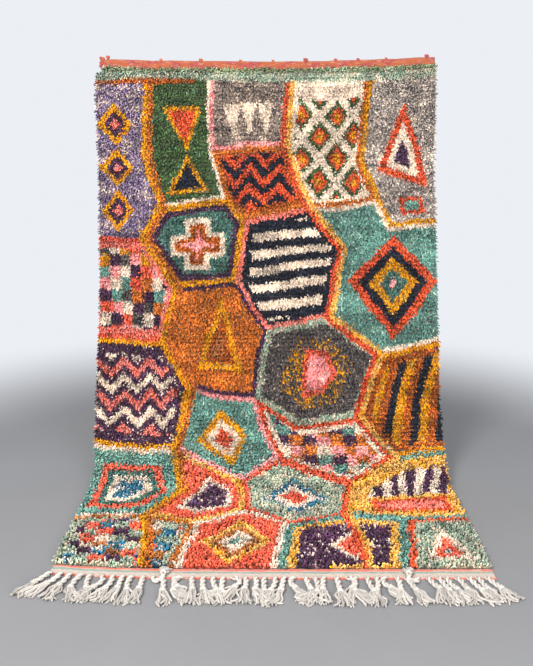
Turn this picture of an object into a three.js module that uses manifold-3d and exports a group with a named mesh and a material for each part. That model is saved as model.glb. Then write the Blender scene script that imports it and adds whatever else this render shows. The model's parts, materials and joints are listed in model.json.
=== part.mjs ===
// Hand-knotted wool pile rug that hangs by its head edge, bends at the floor and runs out over it.
// Millimetres, +Z up. The pile faces -Y, the foot and its fringe lie towards -Y.
// The origin is the middle of the rug's box, at floor level.
import * as THREE from "three";
import { mergeVertices } from "three/addons/utils/BufferGeometryUtils.js";
import Module from "manifold-3d";

const wasm = await Module();
wasm.setup();

// Length of the rug along its back, from the head edge to the foot edge, without the fringe
const RUG_LENGTH = 2500;
const HEAD_STRIP = 42;
const FOOT_STRIP = 62;
const STRIP_THICKNESS = 5;
const FIELD_THICKNESS = 23;
const PIECE_GAP = 0.3;

// The hang: a straight stretch with a slight lean, one round bend, then the run on the floor
const HEAD_HEIGHT = 1716;
const HANG_LEAN = THREE.MathUtils.degToRad(5.9);
const BEND_RADIUS = 343;
const LEFT_CORNER_LIFT = 10;
const RIGHT_CORNER_LIFT = 20;
const LEFT_FOOT_DRAWN_BACK = 36;

// Sides of the pile field at stations down the rug, as uneven as hand weaving leaves them
const SIDES = [
  { along: 0, left: -716, right: 719 },
  { along: 75, left: -729, right: 723 },
  { along: 150, left: -729, right: 722 },
  { along: 280, left: -722, right: 718 },
  { along: 450, left: -713, right: 711 },
  { along: 650, left: -708, right: 715 },
  { along: 1000, left: -705, right: 722 },
  { along: 1240, left: -711, right: 728 },
  { along: 1400, left: -718, right: 728 },
  { along: 1560, left: -715, right: 732 },
  { along: 1740, left: -698, right: 729 },
  { along: 1950, left: -699, right: 732 },
  { along: 2190, left: -704, right: 738 },
  { along: 2300, left: -711, right: 740 },
  { along: 2410, left: -710, right: 736 },
  { along: RUG_LENGTH, left: -707, right: 736 },
];
const HEAD_STRIP_SIDES = { left: -696, right: 720 };
const FOOT_STRIP_SIDES = { left: -712, right: 747 };

// Slow waves that stand in the hanging cloth, as depth in front of the plain hang
const RIPPLES = [
  { size: 5, acrossWaves: 1.6, alongWaves: 0.7, phase: 0.4 },
  { size: 3, acrossWaves: 3.1, alongWaves: 1.4, phase: 2.1 },
];

// Lumps of the pile: thickness that is added or lost from one clump of knots to the next
const LUMP_PITCH = 54;
const LUMP_HEIGHT = 4;
const RIM_DROP = 4;

// Locks of yarn that stand out of the two long rims, and how unevenly they stand and reach
const RIM_LOCKS = 44;
const LOCK = { width: 24, height: 15, rooted: 6, reach: 13, droop: 11, unevenPlace: 0.3, unevenReach: 0.2 };

// Warp ends finished as small knots along the head edge, and the larger knot at its left corner
const HEAD_KNOTS = [
  { across: -452, size: 9 },
  { across: -281, size: 12 },
  { across: -112, size: 8 },
  { across: 28, size: 8 },
  { across: 168, size: 14 },
  { across: 296, size: 10 },
  { across: 392, size: 9 },
  { across: 512, size: 8 },
  { across: 686, size: 13 },
];
const CORNER_KNOTS = [
  { across: -701, drop: 6, size: 21 },
  { across: -691, drop: -2, size: 15 },
  { across: -698, drop: 22, size: 15 },
];

// Fringe: each tassel is two plies side by side, a knot and loose tails, all level on the floor
const TASSELS = 44;
const TASSEL_MARGIN = { left: 12, right: 30 };
const PLY = { width: 8, height: 7.5, rooted: 9, length: 74, apart: 5, bow: 2.5 };
const TASSEL_KNOT = { radius: 10, height: 15 };
const TAILS = 3;
const TAIL = { width: 9, height: 7.5, length: 84, spread: 13, rootShare: 0.5, unevenEnd: 4 };
const OUTWARD_LEAN = { left: 80, right: 105 };
const CORNER_SPLAY = 45;
const SWAY = 8;
const LENGTH_SWAY = 8;

// Tassels that turn back and lie on the woven strip, which they sink into by a little
const FOLDED_TASSELS = [
  { index: 10, sideways: 30 },
  { index: 36, sideways: -26 },
];
const FOLDED_TAIL_LENGTH = 24;
const FOLDED_SINK = 0.4;
const FOLD_ROUTE = [
  { out: -9, aside: 0, onStrip: false },
  { out: 16, aside: 0, onStrip: false },
  { out: 27, aside: 0.5, onStrip: false },
  { out: 13, aside: 1, onStrip: false },
  { out: -14, aside: 1, onStrip: true },
];

// Half outline of a knot's bead, as shares of its radius and height
const BEAD_OUTLINE = [
  { out: 0, up: 0 },
  { out: 0.9, up: 0 },
  { out: 0.95, up: 0.6 },
  { out: 0, up: 1 },
];
const BEAD_SIDES = 6;

// Even scatter between -1 and 1 that is the same in every run
function scatter(index, seed) {
  const wave = Math.sin(index * 12.9898 + seed * 78.233) * 43758.5453;
  return 2 * (wave - Math.floor(wave)) - 1;
}

function smooth(share) {
  const held = THREE.MathUtils.clamp(share, 0, 1);
  return held * held * (3 - 2 * held);
}

function sideAt(along, column) {
  const next = Math.max(SIDES.findIndex((row) => row.along >= along), 1);
  const [from, to] = [SIDES[next - 1], SIDES[next]];
  const share = smooth((along - from.along) / (to.along - from.along));
  return THREE.MathUtils.lerp(from[column], to[column], share);
}

const HANG_LENGTH = (HEAD_HEIGHT - BEND_RADIUS * (1 - Math.sin(HANG_LEAN))) / Math.cos(HANG_LEAN);
const BEND_ANGLE = Math.PI / 2 - HANG_LEAN;
const BEND_LENGTH = BEND_RADIUS * BEND_ANGLE;
const FLOOR_START = HANG_LENGTH + BEND_LENGTH;

// The rug's back at a length down from the head edge: reach towards the viewer, height and slope
function backLine(along) {
  if (along < HANG_LENGTH) {
    const reach = along * Math.sin(HANG_LEAN);
    return { reach, height: HEAD_HEIGHT - along * Math.cos(HANG_LEAN), slope: HANG_LEAN };
  }
  const bendStart = HANG_LENGTH * Math.sin(HANG_LEAN);
  const slope = Math.min(HANG_LEAN + (along - HANG_LENGTH) / BEND_RADIUS, Math.PI / 2);
  const reach = bendStart + BEND_RADIUS * (Math.cos(HANG_LEAN) - Math.cos(slope));
  const floorRun = Math.max(along - FLOOR_START, 0);
  return { reach: reach + floorRun, height: BEND_RADIUS * (1 - Math.sin(slope)), slope };
}

// The cloth hangs from its corners, so the lift and the waves die out towards the bend.
// On the floor its left foot corner is drawn back.
function unevenness(along, across) {
  const share = 1 - smooth(along / HANG_LENGTH);
  const side = THREE.MathUtils.clamp(across / sideAt(along, "right"), -1, 1);
  const laid = smooth((along - FLOOR_START) / (RUG_LENGTH - FLOOR_START));
  const drawnBack = LEFT_FOOT_DRAWN_BACK * laid * Math.max(-side, 0) ** 3;
  const corner = side < 0 ? LEFT_CORNER_LIFT : RIGHT_CORNER_LIFT;
  const wave = RIPPLES.reduce((sum, row) => {
    const turns = row.acrossWaves * side + row.alongWaves * (along / HANG_LENGTH);
    return sum + row.size * Math.sin(Math.PI * turns + row.phase);
  }, 0);
  return { lift: share * corner * side * side, depth: Math.sin(Math.PI * share) * wave - drawnBack };
}

// A point of the hung rug: length from the head edge, place across, and distance proud of the back
function pointAt(along, across, proud) {
  const line = backLine(along);
  const uneven = unevenness(along, across);
  const reach = line.reach + proud * Math.cos(line.slope) + uneven.depth;
  const height = line.height + proud * Math.sin(line.slope) + uneven.lift;
  return [across, -reach, height];
}

function geometryOf(points, faces) {
  const geometry = new THREE.BufferGeometry();
  geometry.setAttribute("position", new THREE.Float32BufferAttribute(points.flat(), 3));
  geometry.setIndex(faces.flat());
  return geometry;
}

function toSolid(geometry) {
  const bare = geometry.clone();
  bare.deleteAttribute("normal");
  bare.deleteAttribute("uv");
  const merged = mergeVertices(bare, 1e-3);
  return new wasm.Manifold(new wasm.Mesh({
    numProp: 3,
    vertProperties: new Float32Array(merged.attributes.position.array),
    triVerts: new Uint32Array(merged.index.array),
  }));
}

function toGeometry(solid) {
  const { vertProperties, triVerts } = solid.getMesh();
  const geometry = new THREE.BufferGeometry();
  geometry.setAttribute("position", new THREE.BufferAttribute(vertProperties, 3));
  geometry.setIndex(new THREE.BufferAttribute(triVerts, 1));
  return geometry;
}

function joined(geometries) {
  const [first, ...others] = geometries.map(toSolid);
  return toGeometry(others.reduce((whole, solid) => whole.add(solid), first));
}

// A closed slab over a grid: frontAt and backAt give its two faces at row r and column c
function slab(rows, columns, frontAt, backAt) {
  const width = columns + 1;
  const layer = (rows + 1) * width;
  const points = [];
  for (const faceAt of [frontAt, backAt]) {
    for (let r = 0; r <= rows; r += 1) {
      for (let c = 0; c <= columns; c += 1) points.push(faceAt(r, c));
    }
  }
  const faces = [];
  const quad = (a, b, c, d) => faces.push([a, b, c], [a, c, d]);
  const front = (r, c) => r * width + c;
  const back = (r, c) => layer + front(r, c);
  for (let r = 0; r < rows; r += 1) {
    for (let c = 0; c < columns; c += 1) {
      quad(front(r, c), front(r + 1, c), front(r + 1, c + 1), front(r, c + 1));
      quad(back(r, c), back(r, c + 1), back(r + 1, c + 1), back(r + 1, c));
    }
    quad(front(r, 0), back(r, 0), back(r + 1, 0), front(r + 1, 0));
    quad(front(r, columns), front(r + 1, columns), back(r + 1, columns), back(r, columns));
  }
  for (let c = 0; c < columns; c += 1) {
    quad(front(0, c), front(0, c + 1), back(0, c + 1), back(0, c));
    quad(front(rows, c), back(rows, c), back(rows, c + 1), front(rows, c + 1));
  }
  return geometryOf(points, faces);
}

// The pile field, lumpy in front, with its rims a little thinner and locks of yarn along both sides
function pileField() {
  const start = HEAD_STRIP + PIECE_GAP;
  const end = RUG_LENGTH - FOOT_STRIP - PIECE_GAP;
  const rows = Math.round((end - start) / LUMP_PITCH);
  const columns = Math.round((SIDES[0].right - SIDES[0].left) / LUMP_PITCH);
  const alongOf = (r) => THREE.MathUtils.lerp(start, end, r / rows);
  const acrossOf = (r, c) => {
    const along = alongOf(r);
    return THREE.MathUtils.lerp(sideAt(along, "left"), sideAt(along, "right"), c / columns);
  };
  const thickness = (r, c) => {
    const rim = r === 0 || r === rows || c === 0 || c === columns;
    const lump = LUMP_HEIGHT * scatter(r * (columns + 1) + c, 1);
    return FIELD_THICKNESS + (rim ? -RIM_DROP : lump);
  };
  const frontAt = (r, c) => pointAt(alongOf(r), acrossOf(r, c), thickness(r, c));
  const backAt = (r, c) => pointAt(alongOf(r), acrossOf(r, c), 0);
  const lockAlong = (i, seed) => {
    const place = (i + 0.5 + LOCK.unevenPlace * scatter(i, seed)) / RIM_LOCKS;
    return THREE.MathUtils.lerp(start, end, place);
  };
  const locks = ["left", "right"].flatMap((side, seed) => (
    Array.from({ length: RIM_LOCKS }, (_, i) => rimLock(lockAlong(i, seed), side, i))
  ));
  return joined([slab(rows, columns, frontAt, backAt), ...locks]);
}

// A four-sided lock whose root sits in the rim and whose tip droops down the rug
function rimLock(along, side, index) {
  const outward = side === "left" ? -1 : 1;
  const rim = sideAt(along, side);
  const foot = (FIELD_THICKNESS - RIM_DROP - LOCK.height) / 2;
  const root = rim - outward * LOCK.rooted;
  const reach = LOCK.reach * (1 - LOCK.unevenReach + LOCK.unevenReach * scatter(index, 5));
  const tip = pointAt(along + LOCK.droop, rim + outward * reach, foot + LOCK.height / 2);
  const ring = [
    pointAt(along - LOCK.width / 2, root, foot),
    pointAt(along + LOCK.width / 2, root, foot),
    pointAt(along + LOCK.width / 2, root, foot + LOCK.height),
    pointAt(along - LOCK.width / 2, root, foot + LOCK.height),
  ];
  const sides = [[0, 1, 4], [1, 2, 4], [2, 3, 4], [3, 0, 4], [0, 2, 1], [0, 3, 2]];
  return geometryOf([...ring, tip], outward > 0 ? sides.map(([a, b, c]) => [a, c, b]) : sides);
}

// A knot as a bead, flat underneath
function bead(radius, height) {
  const profile = BEAD_OUTLINE.map(({ out, up }) => new THREE.Vector2(out * radius, up * height));
  return new THREE.LatheGeometry(profile, BEAD_SIDES).rotateX(Math.PI / 2);
}

// The flat-woven head strip, with the knots of its warp ends on the edge
function headStrip() {
  const columns = Math.round((HEAD_STRIP_SIDES.right - HEAD_STRIP_SIDES.left) / LUMP_PITCH);
  const across = (c) => THREE.MathUtils.lerp(HEAD_STRIP_SIDES.left, HEAD_STRIP_SIDES.right, c / columns);
  const faceAt = (proud) => (r, c) => pointAt(r * HEAD_STRIP, across(c), proud);
  const strip = slab(1, columns, faceAt(STRIP_THICKNESS), faceAt(0));
  const knots = [...HEAD_KNOTS.map((row) => ({ drop: 0, ...row })), ...CORNER_KNOTS];
  const beads = knots.map(({ across: place, drop, size }) => {
    const [x, y, z] = pointAt(0, place, STRIP_THICKNESS / 2);
    return bead(size / 2, size).translate(x, y, z - drop - size / 2);
  });
  return joined([strip, ...beads]);
}

// Heading of a path on the floor at one of its points
function headingAt(path, i) {
  const before = path[Math.max(i - 1, 0)];
  const after = path[Math.min(i + 1, path.length - 1)];
  return new THREE.Vector2(after[0] - before[0], after[1] - before[1]).normalize();
}

// The same path moved sideways
function beside(path, distance) {
  return path.map(([x, y, z], i) => {
    const heading = headingAt(path, i);
    return [x - heading.y * distance, y + heading.x * distance, z];
  });
}

// A flat-bottomed strand of three or four sides on a path, which may start slimmer than it ends
function strand(path, sides, { width, height, rootShare = 1 }) {
  const last = path.length - 1;
  const points = path.flatMap(([x, y, z], i) => {
    const heading = headingAt(path, i);
    const size = THREE.MathUtils.lerp(rootShare, 1, i / last);
    const at = (share, up) => {
      const aside = width * size * share;
      return [x - heading.y * aside, y + heading.x * aside, z + height * size * up];
    };
    const crown = sides === 3 ? [at(0, 1)] : [at(1 / 3, 1), at(-1 / 3, 1)];
    return [at(-1 / 2, 0), at(1 / 2, 0), ...crown];
  });
  const faces = [];
  for (let i = 0; i < last; i += 1) {
    for (let k = 0; k < sides; k += 1) {
      const a = i * sides + k;
      const b = i * sides + (k + 1) % sides;
      faces.push([a, b, b + sides], [a, b + sides, a + sides]);
    }
  }
  const end = last * sides;
  for (let k = 1; k < sides - 1; k += 1) faces.push([0, k + 1, k], [end, end + k, end + k + 1]);
  return geometryOf(points, faces);
}

// A tassel on a path from the foot edge to its knot, with its tails fanned beyond the knot
function tassel(path, tailLength, index) {
  const plies = [-1, 1].map((side) => strand(beside(path, side * PLY.apart), 4, PLY));
  const last = path.length - 1;
  const [x, y, z] = path[last];
  const knot = bead(TASSEL_KNOT.radius, TASSEL_KNOT.height).translate(x, y, z);
  const heading = headingAt(path, last);
  const tails = Array.from({ length: TAILS }, (_, k) => {
    const fan = k - (TAILS - 1) / 2;
    const reach = tailLength + TAIL.unevenEnd * scatter(index * TAILS + k, 6);
    const ends = [{ out: 0, aside: fan * TAIL.spread / 2 }, { out: reach, aside: fan * TAIL.spread }];
    const tail = ends.map(({ out, aside }) => (
      [x + heading.x * out - heading.y * aside, y + heading.y * out + heading.x * aside, z]
    ));
    return strand(tail, 3, TAIL);
  });
  return [...plies, knot, ...tails];
}

// A tassel that runs out over the floor and leans outwards, the more the nearer it is to a corner
function lyingTassel(rootX, index) {
  const share = rootX / FOOT_STRIP_SIDES.right;
  const outward = (share < 0 ? OUTWARD_LEAN.left : OUTWARD_LEAN.right) * share * Math.abs(share);
  const lean = outward - (index === 0 ? CORNER_SPLAY : 0) + SWAY * scatter(index, 2);
  const length = PLY.length + LENGTH_SWAY * scatter(index, 3);
  const whole = length + TAIL.length;
  const heading = new THREE.Vector2(lean, -whole).normalize();
  const path = [[-PLY.rooted, 0], [length / 2, PLY.bow * scatter(index, 4)], [length, 0]];
  const foot = pointAt(RUG_LENGTH, rootX, 0)[1];
  const route = path.map(([out, aside]) => (
    [rootX + heading.x * out - heading.y * aside, foot + heading.y * out + heading.x * aside, 0]
  ));
  return tassel(route, TAIL.length, index);
}

// A tassel whose plies turn back, so that its knot and tails lie on the woven strip
function foldedTassel(rootX, sideways, index) {
  const foot = pointAt(RUG_LENGTH, rootX, 0)[1];
  const route = FOLD_ROUTE.map(({ out, aside, onStrip }) => (
    [rootX + sideways * aside, foot - out, onStrip ? STRIP_THICKNESS - FOLDED_SINK : 0]
  ));
  return tassel(route, FOLDED_TAIL_LENGTH, index);
}

// The flat-woven foot strip on the floor, with the fringe rooted in its edge
function footStrip() {
  const columns = Math.round((FOOT_STRIP_SIDES.right - FOOT_STRIP_SIDES.left) / LUMP_PITCH);
  const across = (c) => THREE.MathUtils.lerp(FOOT_STRIP_SIDES.left, FOOT_STRIP_SIDES.right, c / columns);
  const start = RUG_LENGTH - FOOT_STRIP;
  const faceAt = (proud) => (r, c) => pointAt(start + r * FOOT_STRIP, across(c), proud);
  const strip = slab(1, columns, faceAt(STRIP_THICKNESS), faceAt(0));
  const tassels = Array.from({ length: TASSELS }, (_, i) => {
    const share = i / (TASSELS - 1);
    const from = FOOT_STRIP_SIDES.left + TASSEL_MARGIN.left;
    const rootX = THREE.MathUtils.lerp(from, FOOT_STRIP_SIDES.right - TASSEL_MARGIN.right, share);
    const folded = FOLDED_TASSELS.find((row) => row.index === i);
    return folded ? foldedTassel(rootX, folded.sideways, i) : lyingTassel(rootX, i);
  });
  return joined([strip, ...tassels.flat()]);
}

function piece(name, geometry, finish) {
  const mesh = new THREE.Mesh(geometry, new THREE.MeshStandardMaterial({ metalness: 0, ...finish }));
  mesh.name = name;
  return mesh;
}

const rug = new THREE.Group();
rug.add(
  piece("pile_field", pileField(), { color: 0xb07a55, roughness: 0.95 }),
  piece("head_kilim", headStrip(), { color: 0xe8704a, roughness: 0.9 }),
  piece("foot_kilim_fringe", footStrip(), { color: 0xebe2d6, roughness: 0.9 }),
);

const box = new THREE.Box3().setFromObject(rug);
const middle = box.getCenter(new THREE.Vector3());
rug.children.forEach((mesh) => mesh.geometry.translate(-middle.x, -middle.y, 0));

export default rug;
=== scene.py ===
import json
import math

import bpy
import numpy as np
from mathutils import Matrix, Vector


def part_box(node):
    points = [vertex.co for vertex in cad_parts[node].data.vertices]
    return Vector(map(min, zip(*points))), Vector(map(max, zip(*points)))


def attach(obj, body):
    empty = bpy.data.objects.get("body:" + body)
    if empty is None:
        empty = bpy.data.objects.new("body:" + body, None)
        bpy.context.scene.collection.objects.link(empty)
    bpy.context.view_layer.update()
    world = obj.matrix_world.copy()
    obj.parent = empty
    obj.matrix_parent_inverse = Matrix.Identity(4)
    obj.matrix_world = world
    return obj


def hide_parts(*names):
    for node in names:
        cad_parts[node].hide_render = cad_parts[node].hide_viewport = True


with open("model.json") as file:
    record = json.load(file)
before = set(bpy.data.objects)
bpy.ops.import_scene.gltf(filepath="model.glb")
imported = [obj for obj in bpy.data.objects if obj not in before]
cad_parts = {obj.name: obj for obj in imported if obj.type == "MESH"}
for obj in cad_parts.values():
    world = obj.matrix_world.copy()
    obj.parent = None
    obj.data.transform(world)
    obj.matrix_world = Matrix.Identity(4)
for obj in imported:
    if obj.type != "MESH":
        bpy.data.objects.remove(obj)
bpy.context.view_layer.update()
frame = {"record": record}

MM = 0.001
SEED = 11

# The rug's sizes, as its solids have them
RUG_LENGTH = 2.5
HEAD_STRIP = 0.042
FOOT_STRIP = 0.062
STRIP_THICKNESS = 0.005
PIECE_GAP = 0.0003
HEAD_HEIGHT = 1.716
HANG_LEAN = math.radians(5.9)
BEND_RADIUS = 0.343
LEFT_CORNER_LIFT = 0.010
RIGHT_CORNER_LIFT = 0.020
LEFT_FOOT_DRAWN_BACK = 0.036

# Length down the rug, then its left and right side there, in mm
SIDES = MM * np.array([
    (0, -716, 719),
    (75, -729, 723),
    (150, -729, 722),
    (280, -722, 718),
    (450, -713, 711),
    (650, -708, 715),
    (1000, -705, 722),
    (1240, -711, 728),
    (1400, -718, 728),
    (1560, -715, 732),
    (1740, -698, 729),
    (1950, -699, 732),
    (2190, -704, 738),
    (2300, -711, 740),
    (2410, -710, 736),
    (2500, -707, 736),
])
LEFT, RIGHT = 1, 2
HEAD_STRIP_SIDES = (-0.696, 0.720)
FOOT_STRIP_SIDES = (-0.712, 0.747)

# Waves of the hanging cloth: size, waves across, waves along, phase
RIPPLES = [(0.005, 1.6, 0.7, 0.4), (0.003, 3.1, 1.4, 2.1)]

HANG_LENGTH = (HEAD_HEIGHT - BEND_RADIUS * (1 - math.sin(HANG_LEAN))) / math.cos(HANG_LEAN)
FLOOR_START = HANG_LENGTH + BEND_RADIUS * (math.pi / 2 - HANG_LEAN)

# Where the head edge hangs in the frame
hook = next(mount for mount in frame["record"]["mounts"] if mount["name"] == "hanging_edge")
MIDDLE_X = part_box("head_kilim")[1][0] - HEAD_STRIP_SIDES[1]
HEAD_Y = hook["pos_m"][1] + STRIP_THICKNESS / 2


# Scatter and noise

def speckle(i, j, seed):
    """Even scatter from 0 to 1 for whole numbers i and j, the same in every run."""
    wave = np.sin(i * 12.9898 + j * 78.233 + seed * 37.719) * 43758.5453
    return wave - np.floor(wave)


def scatter(index, seed):
    """Even scatter between -1 and 1 for whole numbers, the same in every run."""
    return 2 * speckle(index, seed, 0) - 1


def smooth(share):
    held = np.clip(share, 0, 1)
    return held * held * (3 - 2 * held)


def mixed(low, high, share):
    return low + (high - low) * share


def drift(x, y, size, seed):
    """Smooth noise from 0 to 1 whose swells are about size wide."""
    i, j = np.floor(x / size), np.floor(y / size)
    u, v = smooth(x / size - i), smooth(y / size - j)
    low = mixed(speckle(i, j, seed), speckle(i + 1, j, seed), u)
    high = mixed(speckle(i, j + 1, seed), speckle(i + 1, j + 1, seed), u)
    return mixed(low, high, v)


# Drape

def side_at(along, side):
    rows = SIDES[:, 0]
    nearest = np.clip(np.searchsorted(rows, along), 1, len(rows) - 1)
    share = smooth((along - rows[nearest - 1]) / (rows[nearest] - rows[nearest - 1]))
    return mixed(SIDES[nearest - 1, side], SIDES[nearest, side], share)


def slope_at(along):
    return np.clip(HANG_LEAN + (along - HANG_LENGTH) / BEND_RADIUS, HANG_LEAN, math.pi / 2)


def outward_at(along):
    slope = slope_at(along)
    return np.stack([0 * slope, -np.cos(slope), np.sin(slope)], -1)


def downhill_at(along):
    slope = slope_at(along)
    return np.stack([0 * slope, -np.sin(slope), -np.cos(slope)], -1)


def drape(along, across, proud):
    """Points of the hung rug: length from the head edge, place across, and distance proud of the back."""
    along, across, proud = np.broadcast_arrays(along, across, proud)
    slope = slope_at(along)
    bend = BEND_RADIUS * (math.cos(HANG_LEAN) - np.cos(slope))
    hung = np.minimum(along, HANG_LENGTH) * math.sin(HANG_LEAN)
    reach = hung + bend + np.maximum(along - FLOOR_START, 0)
    height = np.where(
        along < HANG_LENGTH,
        HEAD_HEIGHT - along * math.cos(HANG_LEAN),
        BEND_RADIUS * (1 - np.sin(slope)),
    )
    share = 1 - smooth(along / HANG_LENGTH)
    side = np.clip(across / side_at(along, RIGHT), -1, 1)
    corner = np.where(side < 0, LEFT_CORNER_LIFT, RIGHT_CORNER_LIFT)
    wave = sum(
        size * np.sin(np.pi * (across_waves * side + along_waves * along / HANG_LENGTH) + phase)
        for size, across_waves, along_waves, phase in RIPPLES
    )
    laid = smooth((along - FLOOR_START) / (RUG_LENGTH - FLOOR_START))
    drawn_back = LEFT_FOOT_DRAWN_BACK * laid * np.maximum(-side, 0) ** 3
    reach = reach + proud * np.cos(slope) + np.sin(np.pi * share) * wave - drawn_back
    height = height + proud * np.sin(slope) + share * corner * side * side
    return np.stack([MIDDLE_X + across, HEAD_Y - reach, height], -1)


# Node trees

def worked_out(operation, reflected=False):
    """What an operator does between two wires, or a wire and a number: it adds a Math node."""
    def work_out(self, other):
        first, second = (other, self) if reflected else (self, other)
        return self.net.node("ShaderNodeMath", {"operation": operation}, {0: first, 1: second})
    return work_out


class Wire:
    """A socket's value."""

    def __init__(self, net, socket):
        self.net = net
        self.socket = socket

    __add__ = worked_out("ADD")
    __radd__ = worked_out("ADD", reflected=True)
    __sub__ = worked_out("SUBTRACT")
    __rsub__ = worked_out("SUBTRACT", reflected=True)
    __mul__ = worked_out("MULTIPLY")
    __rmul__ = worked_out("MULTIPLY", reflected=True)
    __gt__ = worked_out("GREATER_THAN")
    __lt__ = worked_out("LESS_THAN")


class Net:
    """A node tree in the making."""

    def __init__(self, tree):
        self.tree = tree

    def node(self, kind, settings=(), inputs=(), out=0):
        """Adds a node, its settings first, then its sockets' values or links, and gives one output."""
        made = self.tree.nodes.new(kind)
        for name, value in dict(settings).items():
            if name == "stops":
                self.set_stops(made.color_ramp, value)
            else:
                setattr(made, name, value)
        for key, value in dict(inputs).items():
            wires = value if isinstance(value, list) else [value]
            for wire in wires:
                if isinstance(wire, Wire):
                    self.tree.links.new(wire.socket, made.inputs[key])
                else:
                    made.inputs[key].default_value = wire
        return Wire(self, made.outputs[out]) if made.outputs else None

    def set_stops(self, ramp, stops):
        ramp.interpolation = "CONSTANT"
        while len(ramp.elements) < len(stops):
            ramp.elements.new(1)
        for element, (place, colour) in zip(ramp.elements, stops):
            element.position = place
            element.color = colour


class GrowingNet(Net):
    """A Geometry Nodes tree that grows yarn on a mesh of points."""

    def __init__(self, name, sizes):
        tree = bpy.data.node_groups.new(name, "GeometryNodeTree")
        super().__init__(tree)
        tree.interface.new_socket("Points", in_out="INPUT", socket_type="NodeSocketGeometry")
        tree.interface.new_socket("Yarn", in_out="OUTPUT", socket_type="NodeSocketGeometry")
        for label, value in sizes.items():
            kind = "NodeSocketInt" if isinstance(value, int) else "NodeSocketFloat"
            tree.interface.new_socket(label, in_out="INPUT", socket_type=kind)
        self.sizes = sizes
        self.entry = tree.nodes.new("NodeGroupInput")

    def given(self, label):
        return Wire(self, self.entry.outputs[label])

    def kept(self, name, kind="FLOAT"):
        return self.node("GeometryNodeInputNamedAttribute", {"data_type": kind}, {"Name": name})

    def cord(self, path, outline, width):
        values = {"Curve": path, "Profile Curve": outline, "Scale": width, "Fill Caps": True}
        return self.node("GeometryNodeCurveToMesh", {}, values)

    def finish(self, geometry, material):
        solid = self.node("GeometryNodeRealizeInstances", {}, {0: geometry})
        dressed = self.node("GeometryNodeSetMaterial", {}, {0: solid, "Material": material})
        self.node("NodeGroupOutput", {}, {0: dressed})

    def grow(self, name, points):
        """Runs the tree on a mesh of points and gives the result as a plain mesh."""
        source = bpy.data.objects.new(name, points)
        bpy.context.collection.objects.link(source)
        modifier = source.modifiers.new("yarn", "NODES")
        modifier.node_group = self.tree
        for item in self.tree.interface.items_tree:
            if item.name in self.sizes:
                modifier[item.identifier] = self.sizes[item.name]
        depsgraph = bpy.context.evaluated_depsgraph_get()
        grown = source.evaluated_get(depsgraph)
        mesh = bpy.data.meshes.new_from_object(grown, depsgraph=depsgraph)
        bpy.data.objects.remove(source)
        return mesh


# Pattern

# Dyed wools as they show from a step away, in screen colour
DYES = {
    "teal": (107, 150, 137),
    "mint": (169, 195, 177),
    "celadon": (160, 170, 148),
    "pewter": (120, 146, 127),
    "forest": (78, 102, 61),
    "bottle": (80, 119, 107),
    "rust": (184, 93, 34),
    "orange": (206, 115, 47),
    "vermilion": (230, 91, 52),
    "coral": (242, 102, 74),
    "salmon": (249, 133, 117),
    "pink": (249, 158, 156),
    "mustard": (221, 150, 17),
    "straw": (232, 177, 91),
    "cream": (227, 206, 185),
    "lilac": (145, 124, 146),
    "plum": (83, 52, 76),
    "charcoal": (92, 85, 82),
    "taupe": (153, 134, 122),
    "navy": (36, 41, 53),
    "blue": (54, 112, 138),
    "brown": (167, 107, 62),
    "moss": (62, 82, 54),
    "sage": (124, 134, 102),
    "pine": (58, 92, 84),
    "brick": (202, 72, 46),
    "violet": (101, 85, 122),
    "sand": (206, 186, 162),
    "ash": (160, 148, 140),
    "head orange": (174, 90, 55),
    "head pink": (162, 71, 68),
    "fringe": (206, 198, 188),
    "thin teal": (118, 158, 146),
    "pale": (204, 188, 172),
    "blush": (214, 160, 142),
}

# Each wool of the pile: its dye and those of its two flecks, the share of each fleck, and their clump in cm
WOOLS = {
    "teal": ("teal, bottle, mint", 0.16, 0.16, 2.2),
    "sage": ("sage, forest, mint", 0.10, 0.10, 2.0),
    "mint heather": ("celadon, pewter, sand", 0.28, 0.30, 2.2),
    "forest": ("forest, moss, teal", 0.30, 0.06, 3.0),
    "bottle": ("bottle, pine, teal", 0.30, 0.10, 3.0),
    "rust": ("rust, brown, orange", 0.20, 0.12, 3.5),
    "orange": ("orange, rust, mustard", 0.16, 0.06, 3.5),
    "vermilion": ("vermilion, brick, coral", 0.18, 0.14, 2.5),
    "coral": ("coral, brick, salmon", 0.14, 0.18, 2.5),
    "salmon": ("salmon, coral, pink", 0.22, 0.14, 2.2),
    "pink": ("pink, salmon, cream", 0.24, 0.10, 1.8),
    "mustard": ("mustard, orange, straw", 0.14, 0.14, 2.5),
    "straw": ("straw, mustard, cream", 0.30, 0.08, 2.0),
    "cream": ("cream, sand, cream", 0.24, 0.00, 2.0),
    "lilac heather": ("lilac, violet, sand", 0.34, 0.25, 2.2),
    "plum": ("plum, navy, violet", 0.10, 0.12, 2.0),
    "plum flecked": ("plum, violet, cream", 0.14, 0.20, 1.3),
    "charcoal": ("charcoal, navy, taupe", 0.12, 0.16, 1.8),
    "taupe heather": ("taupe, charcoal, sand", 0.26, 0.18, 2.4),
    "ash heather": ("ash, charcoal, cream", 0.16, 0.26, 2.2),
    "navy": ("navy, charcoal, plum", 0.10, 0.10, 2.0),
    "blue heather": ("blue, teal, cream", 0.16, 0.28, 1.8),
    "brown": ("brown, rust, taupe", 0.26, 0.12, 2.5),
    "mustard mix": ("charcoal, mustard, brown", 0.36, 0.14, 1.4),
}
ORDER = list(WOOLS)

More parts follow.
